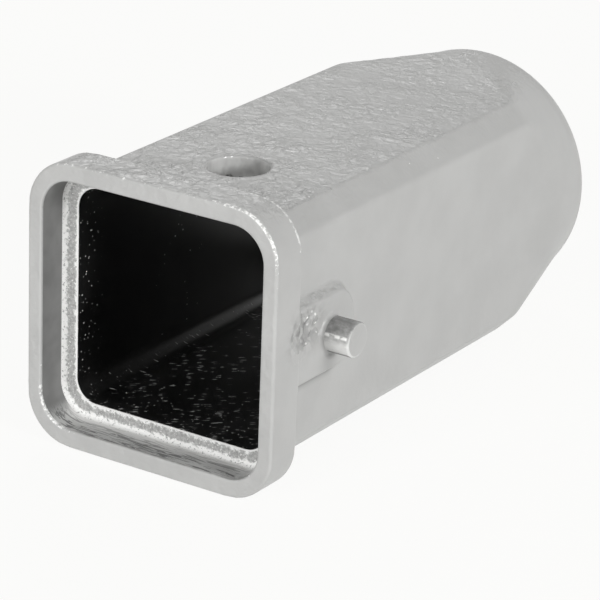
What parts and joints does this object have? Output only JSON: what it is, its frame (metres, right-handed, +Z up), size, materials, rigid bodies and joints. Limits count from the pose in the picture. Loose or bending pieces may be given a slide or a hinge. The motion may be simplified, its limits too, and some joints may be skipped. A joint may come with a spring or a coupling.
{
  "type": "connector hood",
  "caption": "Square die-cast connector hood with a flanged mating mouth, side locking pegs, an insert screw hole and a square-to-round rear end with a threaded cable entry.",
  "frame": {"origin": "centre of the mating face, in the plane of the flange's front rim", "axes": "+X across the hood through the locking pegs, +Y from the mating face back to the cable entry, +Z up through the insert screw hole"},
  "size_m": [0.0326, 0.0592, 0.0282],
  "materials": {
    "painted_casting": "light grey powder coat, rippled on top, bare and rough on the shoulder, dark inside the pocket"
  },
  "bodies": {
    "root": {"hood": "painted_casting"}
  },
  "joints": []
}
